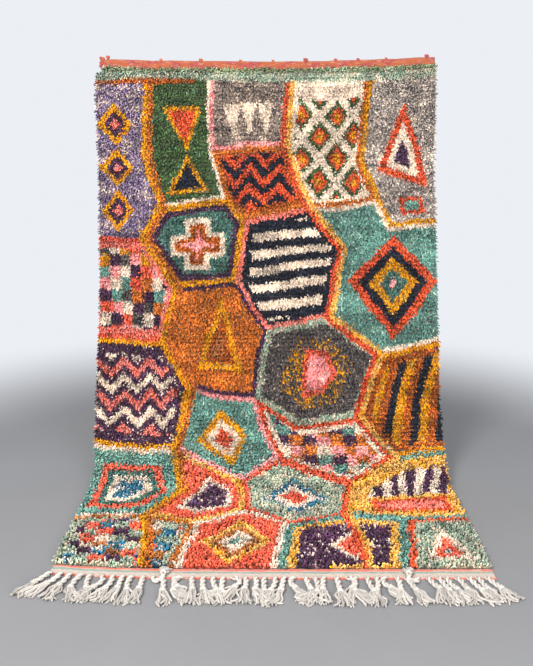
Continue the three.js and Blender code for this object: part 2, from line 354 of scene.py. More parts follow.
# The pattern is in cm from the pile's top left corner, its points as "across,down"
# Grounds, row by row down the rug: width of the borders, wools from the border inwards, outline
GROUNDS = [
    (0, "lilac heather", "-5,-5 24,-5 20,36 27,58 20,72 -5,70"),
    (1.4, "cream, forest", "24,-5 50,-5 48,34 54,54 27,58 20,36"),
    (1.8, "pink, taupe heather", "50,-5 84,-5 80,32 48,34"),
    (1.9, "orange, rust", "48,34 80,32 90,58 62,64 54,54"),
    (1.9, "orange, cream", "84,-5 116,-5 112,40 118,56 90,58 80,32"),
    (2.1, "mustard, ash heather", "116,-5 150,-5 150,66 124,68 118,56 112,40"),
    (1.9, "coral, salmon", "-5,70 20,72 34,92 28,114 -5,112"),
    (2.4, "mustard, plum, bottle", "20,72 27,58 54,54 62,64 58,90 34,92"),
    (2.1, "salmon, navy", "62,64 90,58 104,76 98,104 72,110 58,90"),
    (1.8, "cream, teal", "90,58 118,56 124,68 150,66 150,112 118,120 98,104 104,76"),
    (1.9, "mustard, plum flecked", "-5,112 28,114 40,134 34,160 -5,158"),
    (1.8, "plum, orange", "28,114 34,92 58,90 72,110 66,138 40,134"),
    (1.9, "pink, teal", "40,134 66,138 76,164 60,176 34,160"),
    (2.7, "mint heather, charcoal", "72,110 98,104 118,120 110,146 84,150 66,138"),
    (2.1, "mustard, rust", "118,120 150,112 150,160 124,164 110,146"),
    (1.9, "vermilion, cream", "66,138 84,150 110,146 124,164 104,178 76,164"),
    (2.1, "cream, teal", "-5,158 34,160 38,184 26,204 -5,206"),
    (2.2, "straw, coral", "34,160 60,176 62,200 44,210 26,204 38,184"),
    (2.1, "coral, mint heather", "60,176 76,164 104,178 100,204 78,210 62,200"),
    (2.1, "teal, straw", "104,178 124,164 150,160 150,204 122,208 100,204"),
    (2.1, "orange, mint heather", "-5,206 26,204 44,210 40,245 -5,245"),
    (2.4, "cream, coral", "44,210 62,200 78,210 74,245 40,245"),
    (3.2, "teal, straw, plum flecked", "78,210 100,204 122,208 118,245 74,245"),
    (2.2, "vermilion, mint heather", "122,208 150,204 150,245 118,245"),
]

# Figures on the grounds: how each is worked, its wools, outline and sizes
FIGURES = [
    ("nest", "mustard, plum, salmon", "8,14 15,23 8,32 1,23", (2.0, (0, 18.5, 3))),
    ("nest", "mustard, vermilion", "28,16 45,16 37,34", (1.6,)),
    ("nest", "mustard, navy", "37,34 47,51 30,53", (1.6,)),
    ("nest", "cream", "55,14 62,14 58,29", (0, (7, 0, 3))),
    ("zigzag", "vermilion, navy", "52,37 78,35 86,55 63,60 57,53", (3.9, 13, 7)),
    ("lozenges", "cream, forest, vermilion, mustard",
     "87,12 113,12 109,40 114,53 91,55 83,32", (14.5, 19)),
    ("nest", "vermilion, cream, plum, straw", "131,15 142,50 120,44", (2.6,)),
    ("nest", "vermilion, teal", "129,54 139,54 139,62 129,62", (1.8,)),
    ("checks", "cream, mustard, plum, teal, coral, charcoal, pink, orange",
     "-5,75 19,77 30,93 25,109 -5,108", (4.6, 4.9)),
    ("nest", "cream, rust, pink",
     "37,63 47,63 47,69 53,69 53,79 47,79 47,85 37,85 37,79 31,79 31,69 37,69", (2.2,)),
    ("stripes", "navy, cream", "66,68 89,62 100,77 94,101 73,106 63,90", (3.6, 84)),
    ("nest", "vermilion, navy, mustard, bottle, pink", "125,71 144,90 124,114 106,90", (3.2,)),
    ("zigzag", "plum flecked, cream, plum flecked, salmon",
     "0,119 27,120 35,136 30,154 0,152", (3.6, 11, 6)),
    ("nest", "mustard, rust, brown", "51,96 62,128 42,126", (2.4,)),
    ("nest", "mustard, cream, vermilion", "52,142 64,154 57,168 42,156", (2.6,)),
    ("nest", "mustard mix", "84,114 97,112 108,124 102,140 86,143 76,132", (0,)),
    ("nest", "coral, pink", "87,119 96,118 101,128 95,136 85,137", (1.9,)),
    ("stripes", "mustard, rust, navy", "121,125 146,118 146,156 126,159 115,146", (3.4, 12)),
    ("checks", "teal, orange, cream, plum, pink",
     "72,144 85,154 109,150 118,164 103,173 80,163", (5.4, 4.4)),
    ("nest", "coral, bottle, cream, blue heather", "4,166 28,168 32,184 22,198 2,198", (2.8,)),
    ("nest", "cream, plum flecked", "46,174 56,182 56,197 44,202 36,198 42,186", (1.9,)),
    ("nest", "blue heather, cream, coral", "81,174 95,190 82,203 68,189", (2.8,)),
    ("stripes", "cream, plum", "112,182 128,171 143,168 143,186 110,189", (3.2, 8)),
    ("nest", "vermilion, salmon", "110,192 141,189 141,200 112,202", (1.9,)),
    ("checks", "mint heather, brown, coral, plum, blue heather, cream",
     "2,209 26,208 40,213 36,239 2,239", (5.4, 5.0)),
    ("nest", "straw, brown, cream, teal", "61,208 72,224 58,239 47,224", (2.6,)),
    ("nest", "cream, coral", "100,216 108,226 100,236 92,226", (1.9,)),
    ("nest", "cream, coral, blue heather", "133,213 141,236 124,237", (2.4,)),
]

# Ribbons that wander down between the grounds: wools and path
RIBBONS = [
    ("mustard, orange", "24,-5 20,36 27,58 20,72 34,92 28,114 40,134 34,160 38,184 26,204 32,245"),
    ("vermilion, straw",
     "84,-5 80,32 90,58 104,76 98,104 118,120 110,146 124,164 104,178 100,204 106,245"),
]
RIBBON_BAND = 2.2

# Bands below the head strip: how far down each ends, and the rust line's ends
HEAD_LINE = 1.3
HEAD_BAND = 4.7
RUST_LINE = (4.4, 6.3, 43)

# How far the work strays from these lines, over what length, and seeds for across and down
STRAYING = [(1.1, 17, 1, 3), (0.4, 5, 2, 4)]

# How fine, soft at the edge and even the flecks are, and how flat their clumps
FLECKS_PER_CM, FLECK_EDGE, FLECK_EVENNESS = 7, 0.10, 0.85
CLUMP_FLATNESS = 1.5

# Clouds of the dye lots, also painted light and shade of the pile's relief, and bands of the dye lots, with
# their sizes in cm, and single knots: how far their shades vary
LOT_AND_SHADE_CLOUDS, LOT_AND_SHADE_CLOUD = 0.26, 5
LOT_BANDS, LOT_BAND, LOT_BAND_FLATNESS = 0.20, 2.6, 0.15
KNOT_SHADES, KNOTS_PER_CM = 0.22, 9


def places_of(text):
    """The points of an outline or a path."""
    return [tuple(map(float, point.split(","))) for point in text.split()]


class Chart:
    """The pile laid flat, in cm from its top left corner, with the wool of each knot."""

    def __init__(self, x, y):
        self.knots = x, y
        self.x, self.y = x, y
        for far, length, seed_across, seed_down in STRAYING:
            self.x = self.x + far * (2 * drift(x, y, length, seed_across) - 1)
            self.y = self.y + far * (2 * drift(x, y, length, seed_down) - 1)
        self.wool = np.zeros(x.shape, int)

    def depth(self, outline):
        """How far each knot lies inside an outline, below 0 outside."""
        ring = np.array(outline, float)
        near = np.full(self.x.shape, np.inf)
        inside = np.zeros(self.x.shape, bool)
        for (ax, ay), (bx, by) in zip(ring, np.roll(ring, -1, 0)):
            near = np.minimum(near, self.gap((ax, ay), (bx, by)))
            crosses = (ay > self.y) != (by > self.y)
            if ay != by:
                inside ^= crosses & (self.x < ax + (self.y - ay) * (bx - ax) / (by - ay))
        return np.where(inside, near, -near)

    def gap(self, a, b):
        """Distance of each knot from the line between two points."""
        (ax, ay), (bx, by) = a, b
        run = (bx - ax) ** 2 + (by - ay) ** 2
        share = np.clip(((self.x - ax) * (bx - ax) + (self.y - ay) * (by - ay)) / run, 0, 1)
        return np.hypot(self.x - ax - share * (bx - ax), self.y - ay - share * (by - ay))

    def put(self, where, wool):
        self.wool[where] = ORDER.index(wool)

    def pick(self, outline, wools, index):
        inside = self.depth(outline) > 0
        for i, wool in enumerate(wools):
            self.put(inside & (index % len(wools) == i), wool)

    def nest(self, outline, wools, step, again=(0, 0, 1)):
        """Outlines one inside the other, the last wool filling the middle, once or several times over."""
        right, down, times = again
        for turn in range(times):
            depth = self.depth([(x + turn * right, y + turn * down) for x, y in outline])
            for i, wool in enumerate(wools):
                self.put(depth > i * step, wool)

    def ribbon(self, path, wools):
        """Bands side by side along a path, from its left side to its right."""
        near = np.full(self.x.shape, np.inf)
        side = np.zeros(self.x.shape)
        for a, b in zip(path[:-1], path[1:]):
            gap = self.gap(a, b)
            turn = (b[0] - a[0]) * (self.y - a[1]) - (b[1] - a[1]) * (self.x - a[0])
            closer = gap < near
            near = np.where(closer, gap, near)
            side = np.where(closer, np.where(turn > 0, -gap, gap), side)
        for i, wool in enumerate(wools):
            low = (i - len(wools) / 2) * RIBBON_BAND
            self.put((side >= low) & (side < low + RIBBON_BAND), wool)

    def stripes(self, outline, wools, pitch, angle):
        turn = np.radians(angle)
        along = (self.x * np.cos(turn) + self.y * np.sin(turn)) / pitch
        self.pick(outline, wools, np.floor(along).astype(int))

    def zigzag(self, outline, wools, pitch, wave, rise):
        fold = np.abs((self.x / wave) % 1 - 0.5) * 2
        self.pick(outline, wools, np.floor((self.y + rise * fold) / pitch).astype(int))

    def checks(self, outline, wools, wide, tall):
        column, row = np.floor(self.x / wide), np.floor(self.y / tall)
        hop = np.floor(2 * speckle(column, row, 5))
        self.pick(outline, wools, (column * 2 + row * 3 + hop).astype(int))

    def lozenges(self, outline, wools, wide, tall):
        """A trellis of nested lozenges."""
        across = np.abs((self.x / wide) % 1 - 0.5)
        down = np.abs((self.y / tall) % 1 - 0.5)
        ring = np.abs(across + down - 0.5) * 2 * len(wools)
        self.pick(outline, wools, np.minimum(ring.astype(int), len(wools) - 1))

    def uneven(self, per_cm, seed):
        """Even scatter from 0 to 1 over cells of the chart."""
        x, y = self.knots
        return speckle(np.round(x * per_cm), np.round(y * per_cm), seed)

    def lay_out(self):
        """Works the pattern, then the common bands at its head."""
        for step, wools, outline in GROUNDS:
            self.nest(places_of(outline), wools.split(", "), step)
        for figure, wools, outline, sizes in FIGURES:
            getattr(self, figure)(places_of(outline), wools.split(", "), *sizes)
        for wools, path in RIBBONS:
            self.ribbon(places_of(path), wools.split(", "))
        top, bottom, end = RUST_LINE
        self.put(self.y < HEAD_BAND, "mint heather")
        self.put((self.y >= top) & (self.y < bottom) & (self.x < end), "rust")
        self.put(self.knots[1] < HEAD_LINE, "sage")

    def colours(self):
        """Screen colour of each knot: dye or fleck, with clouds of the dye lots that also paint the light
        and shade of the pile's relief, the bands of each dye lot and uneven knots.
        """
        x, y = self.knots
        rows = WOOLS.values()
        dyes = np.array([[DYES[name] for name in row[0].split(", ")] for row in rows], float)
        shares = np.array([row[1:3] for row in rows])[self.wool]
        clump = np.array([row[3] for row in rows])[self.wool]
        cloud = drift(x / clump, y / clump * CLUMP_FLATNESS, 1, 6)
        chance = (self.uneven(FLECKS_PER_CM, 7) + cloud) / 2
        level = np.where(shares > 0, 0.5 + (shares - 0.5) * FLECK_EVENNESS, -1)
        low = np.clip((level[..., 0] - chance) / FLECK_EDGE + 0.5, 0, 1)[..., None]
        high = np.clip((chance - 1 + level[..., 1]) / FLECK_EDGE + 0.5, 0, 1)[..., None]
        main, first, second = (dyes[self.wool, k] for k in range(3))
        colour = mixed(mixed(main, first, low), second, high)
        # Clouds: dye lots, and painted light and shade of the pile's relief
        clouds = drift(x, y, LOT_AND_SHADE_CLOUD, 8) - 0.5
        bands = drift(x * LOT_BAND_FLATNESS, y, LOT_BAND, 9) - 0.5
        lot_and_shade = 1 + LOT_AND_SHADE_CLOUDS * clouds + LOT_BANDS * bands
        knot = 1 + KNOT_SHADES * (self.uneven(KNOTS_PER_CM, 10) - 0.5)
        return np.clip(colour * (lot_and_shade * knot)[..., None], 4, 252)


# Finishes

class Finish(Net):
    """A material whose surface is one Principled shader."""

    def __init__(self, name, roughness=0.88, sheen=0.15, sheen_roughness=0.5, specular=0.3):
        self.material = bpy.data.materials.new(name)
        self.material.use_nodes = True
        super().__init__(self.material.node_tree)
        self.tree.nodes.clear()
        look = {"Roughness": roughness, "Specular IOR Level": specular}
        look |= {"Sheen Weight": sheen, "Sheen Roughness": sheen_roughness}
        surface = self.node("ShaderNodeBsdfPrincipled", {}, look)
        self.node("ShaderNodeOutputMaterial", {}, {"Surface": surface})
        self.shader = surface.socket.node

    def set(self, socket, wire):
        self.tree.links.new(wire.socket, self.shader.inputs[socket])

    def place(self):
        return self.node("ShaderNodeTexCoord", out="Object")

    def weave(self):
        """The cloth's own lengths, across and down."""
        return self.node("ShaderNodeUVMap", {"uv_map": "weave"})

    def kept(self, name, out="Fac"):
        return self.node("ShaderNodeAttribute", {"attribute_name": name}, out=out)

    def noise(self, vector, scale, detail=2.0, roughness=0.5):
        values = {"Vector": vector, "Scale": scale, "Detail": detail, "Roughness": roughness}
        return self.node("ShaderNodeTexNoise", {}, values)

    def fibres(self, scale, roughness=0.5):
        return self.noise(self.place(), scale, detail=3.0, roughness=roughness)

    def rows(self, vector, scale, distortion, across="Y"):
        values = {"Vector": vector, "Scale": scale, "Distortion": distortion, "Detail": 1.0}
        return self.node("ShaderNodeTexWave", {"bands_direction": across}, values)

    def stretched(self, vector, scale):
        return self.node("ShaderNodeMapping", {}, {"Vector": vector, "Scale": scale})

    def part(self, vector, axis):
        return self.node("ShaderNodeSeparateXYZ", {}, {0: vector}, out=axis)

    def shaded(self, colour, shade):
        colour = colour if isinstance(colour, Wire) else colour[:3]
        return self.node("ShaderNodeVectorMath", {"operation": "SCALE"}, {0: colour, "Scale": shade})

    def mixed(self, first, second, share):
        settings = {"data_type": "RGBA"}
        return self.node("ShaderNodeMix", settings, {"Factor": share, 6: first, 7: second}, out=2)

    def bump(self, height, depth, strength=1.0):
        values = {"Strength": strength, "Distance": depth, "Height": height}
        self.set("Normal", self.node("ShaderNodeBump", {}, values))


def linear(colour):
    """Scene colour of a screen colour given from 0 to 255."""
    share = np.asarray(colour, float) / 255
    return np.where(share <= 0.04045, share / 12.92, ((share + 0.055) / 1.055) ** 2.4)


def dyed(name):
    return (*linear(DYES[name]).tolist(), 1.0)


def pile_finish():
    """Wool whose tufts are painted darker towards their roots as the shade between them, pale wools less
    than dark ones.
    """
    wool = Finish("pile_wool", roughness=0.85, sheen=0.06, sheen_roughness=0.4, specular=0.15)
    fibres = wool.fibres(420.0, roughness=0.65)
    tip = wool.kept("tip")
    colour = wool.kept("wool", out="Color")
    pale = wool.node("ShaderNodeSeparateColor", {}, {0: colour}, out="Green")
    # Painted shade: each tuft darker towards its root, pale wools lifted
    shade = mixed(0.42 + 1.1 * pale, 1.04, tip * tip) * mixed(0.72, 1.28, fibres)
    wool.set("Base Color", wool.shaded(colour, shade))
    wool.set("Roughness", mixed(0.7, 1.0, fibres))
    wool.bump(fibres, 0.0012, 0.6)
    return wool.material


def ground_finish():
    """Woven ground of the pile: rows of knots between rows of cotton weft, with painted shade between the
    knots and, through light, on its front and sides.
    """
    ground = Finish("woven_ground", roughness=0.9)
    place = ground.weave()
    rows = ground.rows(place, 18.5, 0.6)
    knots = ground.rows(place, 18.5, 0.4, across="X")
    # Painted shade: darker between the knots, where the bump is low
    shade = 0.55 + 0.3 * knots + 0.3 * ground.fibres(700.0)
    wool = ground.shaded(ground.kept("wool", out="Color"), shade)
    woven = ground.mixed(wool, dyed("cream"), 0.5 * (rows < 0.3))
    # light: painted shade of the ground's front and sides, deep in the pile
    ground.set("Base Color", ground.shaded(woven, ground.kept("light")))
    ground.bump(rows * mixed(0.6, 1.0, knots), 0.002)
    return ground.material


# Shades of the ribs and fibres of the strips, from low to high; the low rib shade is painted shade in the
# grooves between ribs
HEAD_LOOK = {"sheen": 0.2, "rib_shades": (0.72, 0.97), "fibre_shades": (0.8, 1.2)}
FOOT_LOOK = {"sheen": 0.15, "rib_shades": (0.75, 1.0), "fibre_shades": (0.82, 1.18)}


def flat_weave(name, worked, sheen, rib_shades, fibre_shades):
    """Flat weave, ribbed across, in the wools that worked gives."""
    weave = Finish(name, sheen=sheen)
    place = weave.weave()
    ribs = weave.rows(place, 60.0, 1.5)
    fibres = weave.fibres(800.0)
    # Painted shade: darker in the grooves between the ribs
    shade = mixed(*rib_shades, ribs) * mixed(*fibre_shades, fibres)
    weave.set("Base Color", weave.shaded(worked(weave, place), shade))
    weave.bump(ribs + 0.4 * fibres, 0.0012)
    return weave.material


def head_wools(weave, place):
    """Orange wool with pink patches and a few pale streaks."""
    patch = weave.noise(weave.stretched(place, (1.0, 2.2, 1.0)), 16.0)
    streak = weave.noise(weave.stretched(place, (1.0, 14.0, 1.0)), 30.0)
    warm = weave.mixed(dyed("head orange"), dyed("head pink"), (patch + 0.5 * streak) > 0.785)
    return weave.mixed(warm, dyed("blush"), 0.7 * (streak > 0.62))


# Stripes of the foot strip: where each begins, down from the pile
FOOT_STRIPES = [
    (0.0, "blush"),
    (0.005, "coral"),
    (0.017, "blush"),
    (0.021, "thin teal"),
    (0.031, "pale"),
    (0.056, "coral"),
]
STRIPE_WAVER = 0.010


def foot_wools(weave, place):
    """Wavering stripes, faded and worn in places."""
    waver = weave.noise(weave.stretched(place, (1.0, 3.0, 1.0)), 9.0)
    worn = weave.noise(weave.stretched(place, (1.0, 7.0, 1.0)), 15.0, detail=3.0)
    down = weave.part(place, "Y") + STRIPE_WAVER * (waver - 0.5)
    settings = {"stops": [(edge / FOOT_STRIP, dyed(name)) for edge, name in FOOT_STRIPES]}
    stripes = weave.node("ShaderNodeValToRGB", settings, {0: down * (1 / FOOT_STRIP)})
    return weave.mixed(stripes, dyed("pale"), 0.55 * (worn > 0.58) + 0.12)


def knot_finish():
    """Cords of the warp ends, in the head strip's wools."""
    cord = Finish("warp_cord", roughness=0.85)
    patch = cord.noise(cord.place(), 14.0, detail=0.0)
    fibres = cord.fibres(600.0)
    left = cord.part(cord.place(), "X") < KNOT_CORNER
    wool = cord.mixed(dyed("head orange"), dyed("head pink"), (patch + left) > 0.55)
    cord.set("Base Color", cord.shaded(wool, mixed(0.75, 1.25, fibres) * cord.kept("shade")))
    cord.bump(fibres, 0.0008)
    return cord.material


def fringe_finish():
    cotton = Finish("foot_cotton", roughness=0.85, sheen=0.2)
    fibres = cotton.fibres(520.0)
    cloud = cotton.noise(cotton.place(), 30.0)
    # shade: each cord's own tone, on the tails partly painted shade between the strands
    shade = mixed(0.8, 1.05, fibres) * mixed(0.9, 1.1, cloud) * cotton.kept("shade")
    cotton.set("Base Color", cotton.shaded(dyed("fringe"), shade))
    cotton.bump(fibres, 0.0008)
    return cotton.material


# Meshes

def keep(mesh, name, kind, domain, values):
    """Stores one value for each point or face of a mesh, for its finish or its nodes to read."""
    field, width = {"FLOAT_COLOR": ("color", 4), "FLOAT_VECTOR": ("vector", 3)}.get(kind, ("value", 1))
    number = np.int32 if kind == "INT" else np.float32
    values = np.asarray(values, number).reshape(-1, width)
    mesh.attributes.new(name, kind, domain).data.foreach_set(field, values.ravel())


def points_mesh(name, points, edges=()):
    mesh = bpy.data.meshes.new(name)
    mesh.from_pydata(np.asarray(points).reshape(-1, 3).tolist(), list(edges), [])
    return mesh


def grid(down, rows, sides, columns):
    """Places down and across a cloth at the corners of its cells."""
    return np.meshgrid(np.linspace(*down, rows + 1), np.linspace(*sides, columns + 1), indexing="ij")


def quads(*corners):
    return np.stack(corners, -1).reshape(-1, 4)


def slab(name, along, across, thickness, start=0.0):
    """A closed cloth, its front face first, with its own lengths from its start in metres as a map."""
    rows, columns = along.shape
    near = np.arange(rows * columns).reshape(rows, columns)
    far = near + rows * columns
    faces = [
        quads(near[:-1, :-1], near[1:, :-1], near[1:, 1:], near[:-1, 1:]),
        quads(far[:-1, :-1], far[:-1, 1:], far[1:, 1:], far[1:, :-1]),
        quads(near[:-1, 0], far[:-1, 0], far[1:, 0], near[1:, 0]),
        quads(near[:-1, -1], near[1:, -1], far[1:, -1], far[:-1, -1]),
        quads(near[0, :-1], near[0, 1:], far[0, 1:], far[0, :-1]),
        quads(near[-1, :-1], far[-1, :-1], far[-1, 1:], near[-1, 1:]),
    ]
    sheets = [drape(along, across, proud).reshape(-1, 3) for proud in (thickness, 0.0)]
    mesh = bpy.data.meshes.new(name)
    mesh.from_pydata(np.concatenate(sheets).tolist(), [], np.concatenate(faces).tolist())
    mesh.shade_smooth()
    flat = np.stack([across, along - start], -1).reshape(-1, 2)
    corners = np.empty(len(mesh.loops), np.int32)
    mesh.loops.foreach_get("vertex_index", corners)
    uv = flat[corners % len(flat)]
    mesh.uv_layers.new(name="weave").uv.foreach_set("vector", uv.astype(np.float32).ravel())
    return mesh


def piece(name, mesh, material=None):
    made = bpy.data.objects.new(name, mesh)
    bpy.context.collection.objects.link(made)
    if material:
        mesh.materials.append(material)
    return made


# Pile

PILE_START = HEAD_STRIP + PIECE_GAP
PILE_END = RUG_LENGTH - FOOT_STRIP - PIECE_GAP
CHART_WIDTH = 144.0
CHART_PER_METRE = 100.0
PILE_WIDTH = CHART_WIDTH / CHART_PER_METRE
KNOT_PITCH = 0.0062
KNOT_JITTER = 0.34
PILE_SECTIONS = 8
GROUND_THICKNESS = 0.006
CORNER_TUCK, CORNER_RUN = 0.024, 0.034
HEAD_OVERLAP, HEAD_FILLED = 0.007, 0.009

# Tufts, and how far the tips of the bent ones lie aside and stand up, as shares of the length
TUFT = {"Length": 0.019, "Radius": 0.0036, "Root width": 0.8, "Swell": 0.2}
TUFT_LEANS = [(0.0, 1.0), (0.2, 0.95), (0.35, 0.9), (0.5, 0.8)]
TUFT_SIDES, TUFT_FACES = 3, 5
TUFT_ROOTED = 0.002
TUFT_SIZES = (0.87, 1.13)
LEAN_DOWN, LEAN_ACROSS = (0.8, 0.6), (0, 0.9)

# How the pile lies: hanging, on the floor, from tuft to tuft, and at the foot, sides and head
HANG_DROOP, FLOOR_DROOP, UNEVEN_DROOP = 0.30, 0.20, 0.22
FOOT_DROOP = 0.45
SIDEWAYS = 0.22
RIM_LEAN, RIM_REACH, RIM_SHORTER = 0.65, 0.016, 0.22
HEAD_RISE, HEAD_REACH = 1.0, 0.020
FLOOR_THINNING, FLOOR_GROWTH = 0.22, 0.16
PARTING = {"pitch": 0.019, "rare": 0.35, "soft": 0.3, "width": 0.0040, "lean": 0.7, "sink": 0.22}
PARTING_BEND = 0.5
RELIEF = 0.26
UNEVEN_SHADE = 0.40

# Swells over the pile: how many across it, how many to a metre down, and seed
BEND_SWELLS = (9, 8, 21)
PARTING_SWELLS = (6, 10, 22)
RELIEF_SWELLS = (30, 24, 23)

# The margin round each part of a tuft's square on the map
MAP_MARGIN = 0.08


def rim_at(along, side):
    """The pile's rim, tucked in at the head's left corner."""
    tuck = CORNER_TUCK * (1 - smooth((along - PILE_START) / CORNER_RUN)) if side == LEFT else 0
    return side_at(along, side) + tuck


def pile_across(along, share):
    return mixed(rim_at(along, LEFT), rim_at(along, RIGHT), share)


def laid_at(along):
    """How far the rug has come to lie on the floor, from 0 to 1."""
    return smooth((along - HANG_LENGTH) / (FLOOR_START - HANG_LENGTH))


def knot_places(rng):
    """For each knot, its length down and share of the width, then those that the pattern has for it."""
    rows, columns = round((PILE_END - PILE_START) / KNOT_PITCH), round(PILE_WIDTH / KNOT_PITCH)
    row, column = np.meshgrid(np.arange(rows) + 0.5, np.arange(columns) + 0.5, indexing="ij")
    down, aside = rng.uniform(-KNOT_JITTER, KNOT_JITTER, (2, rows, columns))
    along = mixed(PILE_START - HEAD_OVERLAP, PILE_END, np.clip((row + down) / rows, 0, 1))
    share = np.clip((column + aside) / columns, 0, 1)
    kept = rng.random(along.shape) > FLOOR_THINNING * laid_at(along)
    told = mixed(PILE_START, PILE_END, row / rows), column / columns
    places = np.stack([along, share, *told])[:, kept]
    more = places[:, places[0] < PILE_START + HEAD_FILLED]
    more[0] += KNOT_PITCH / 2
    more[1] = np.clip(more[1] + KNOT_PITCH / 3, 0, 1)
    return np.concatenate([more, places], 1)


def chart_colours(along, share):
    """Scene colours of the rug's pattern at these places."""
    chart = Chart(share * CHART_WIDTH, (along - PILE_START) * CHART_PER_METRE)
    chart.lay_out()
    colours = linear(chart.colours())
    return np.concatenate([colours, np.ones_like(colours[..., :1])], -1)


def unevenly_shaded(colours, rng):
    """The same colours, some lighter and some darker from knot to knot, pale wools the least."""
    strength = UNEVEN_SHADE * (1 - colours[:, 1])
    shade = strength * np.clip(rng.normal(0, 1, len(colours)), -2, 2) - strength ** 2 / 2
    colours[:, :3] *= np.exp(shade)[:, None]
    return colours


def swells(along, share, across, down, seed):
    return drift(share * across, along * down, 1, seed)


def partings(along, share):
    """Where the pile parts along a row: how strongly, and on which side of it each knot is."""
    turns = along / PARTING["pitch"] + PARTING_BEND * swells(along, share, *BEND_SWELLS)
    off = (turns + 0.5) % 1 - 0.5
    strength = smooth((swells(along, share, *PARTING_SWELLS) - PARTING["rare"]) / PARTING["soft"])
    return strength * np.exp(-(off * PARTING["pitch"] / PARTING["width"]) ** 2), np.sign(off)


def tuft_fields(along, share, told, rng):
    """How each tuft stands, how it is bent, its size and its wool."""
    count = len(along)
    laid = laid_at(along)
    parted, below = partings(along, share)
    rim = np.clip(1 - PILE_WIDTH * (0.5 - np.abs(share - 0.5)) / RIM_REACH, 0, 1)
    head = np.clip(1 - (along - PILE_START + HEAD_OVERLAP) / HEAD_REACH, 0, 1)
    foot = np.clip(1 - (PILE_END - along) / HEAD_REACH, 0, 1)
    droop = mixed(HANG_DROOP, FLOOR_DROOP, laid) + UNEVEN_DROOP * rng.normal(0, 1, count)
    droop = mixed(droop, FOOT_DROOP, foot) - HEAD_RISE * head + PARTING["lean"] * parted * below
    aside = SIDEWAYS * rng.normal(0, 1, count) + RIM_LEAN * rim * np.sign(share - 0.5)
    across, down = np.array([1.0, 0.0, 0.0]), downhill_at(along)
    heading = outward_at(along) + down * droop[:, None] + across * aside[:, None]
    bent = down * rng.normal(*LEAN_DOWN, (count, 1)) + across * rng.normal(*LEAN_ACROSS, (count, 1))
    lean = rng.integers(0, len(TUFT_LEANS), count)
    size = rng.uniform(*TUFT_SIZES, count) + RELIEF * (swells(along, share, *RELIEF_SWELLS) - 0.5)
    size = size * (1 + FLOOR_GROWTH * laid) * (1 - PARTING["sink"] * parted) * (1 - RIM_SHORTER * rim)
    return {
        "heading": ("FLOAT_VECTOR", heading),
        "lean_way": ("FLOAT_VECTOR", bent),
        "lean": ("INT", lean),
        "size": ("FLOAT", size),
        "wool": ("FLOAT_COLOR", unevenly_shaded(chart_colours(*told), rng)),
    }


def tuft_net(material):
    """Grows one short end of yarn on each knot."""
    net = GrowingNet("tufts", TUFT)
    share = net.node("GeometryNodeSplineParameter", out="Factor")
    length = net.given("Length")
    width = net.given("Root width") + net.given("Swell") * share
    circle = {"Resolution": TUFT_SIDES, "Radius": net.given("Radius")}
    outline = net.node("GeometryNodeCurvePrimitiveCircle", {}, circle)
    point_value = {"data_type": "FLOAT", "domain": "POINT"}
    ends = []
    for aside, up in TUFT_LEANS:
        tip = net.node("ShaderNodeCombineXYZ", {}, {0: length * aside, 2: length * up})
        path = net.node("GeometryNodeCurvePrimitiveLine", {}, {"Start": (0, 0, 0), "End": tip})
        stored = {"Geometry": path, "Name": "tip", "Value": share}
        told = net.node("GeometryNodeStoreNamedAttribute", point_value, stored)
        yarn = net.cord(told, outline, width)
        ends.append(net.node("GeometryNodeGeometryToInstance", {}, {0: yarn}))
    axes = {"primary_axis": "Z", "secondary_axis": "X"}
    ways = {0: net.kept("heading", "FLOAT_VECTOR"), 1: net.kept("lean_way", "FLOAT_VECTOR")}
    planted = net.node("GeometryNodeInstanceOnPoints", {}, {
        "Points": net.given("Points"),
        "Instance": net.node("GeometryNodeJoinGeometry", {}, {0: ends}),
        "Pick Instance": True,
        "Instance Index": net.kept("lean", "INT"),
        "Rotation": net.node("FunctionNodeAxesToRotation", axes, ways),
        "Scale": net.kept("size"),
    })
    net.finish(planted, material)
    return net


def cell_map(mesh):
    """Gives each tuft its own square of the map, and each of its faces a part of the square."""
    count = len(mesh.polygons)
    across = math.ceil(math.sqrt(count // TUFT_FACES))
    parts = math.ceil(math.sqrt(TUFT_FACES))
    sizes, starts = np.empty((2, count), np.int32)
    mesh.polygons.foreach_get("loop_total", sizes)
    mesh.polygons.foreach_get("loop_start", starts)
    tuft, part = np.divmod(np.repeat(np.arange(count), sizes), TUFT_FACES)
    corner = np.arange(len(mesh.loops)) - np.repeat(starts, sizes)
    low, high = MAP_MARGIN, 1 - MAP_MARGIN
    square = np.array([(low, low), (high, low), (high, high), (low, high)])
    uv = (square[corner] + np.stack([part % parts, part // parts], -1)) / parts
    uv = (uv + np.stack([tuft % across, tuft // across], -1)) / across
    mesh.uv_layers.new(name="OFBake").uv.foreach_set("vector", uv.astype(np.float32).ravel())


def pile_sections(material):
    rng = np.random.default_rng(SEED)
    along, share, *told = knot_places(rng)
    fields = tuft_fields(along, share, told, rng)
    places = drape(along, pile_across(along, share), GROUND_THICKNESS - TUFT_ROOTED)
    net = tuft_net(material)
    sections = []
    for number, part in enumerate(np.array_split(np.arange(len(along)), PILE_SECTIONS)):
        name = f"pile_{number + 1}"
        points = points_mesh(name, places[part])
        for field, (kind, values) in fields.items():
            keep(points, field, kind, "POINT", values[part])
        mesh = net.grow(name, points)
        for field in fields:
            if field != "wool" and field in mesh.attributes:
                mesh.attributes.remove(mesh.attributes[field])
        cell_map(mesh)
        sections.append(piece(name, mesh))
    return sections


# Woven ground, whose front lies deep in the pile and is painted dark with the shade there

GROUND_CELL = 0.010
# Painted shade of the ground's front and sides, and how far pale wools lift it on the front
HIDDEN_SHADE = 0.15
PALE_LIFT = 1.1


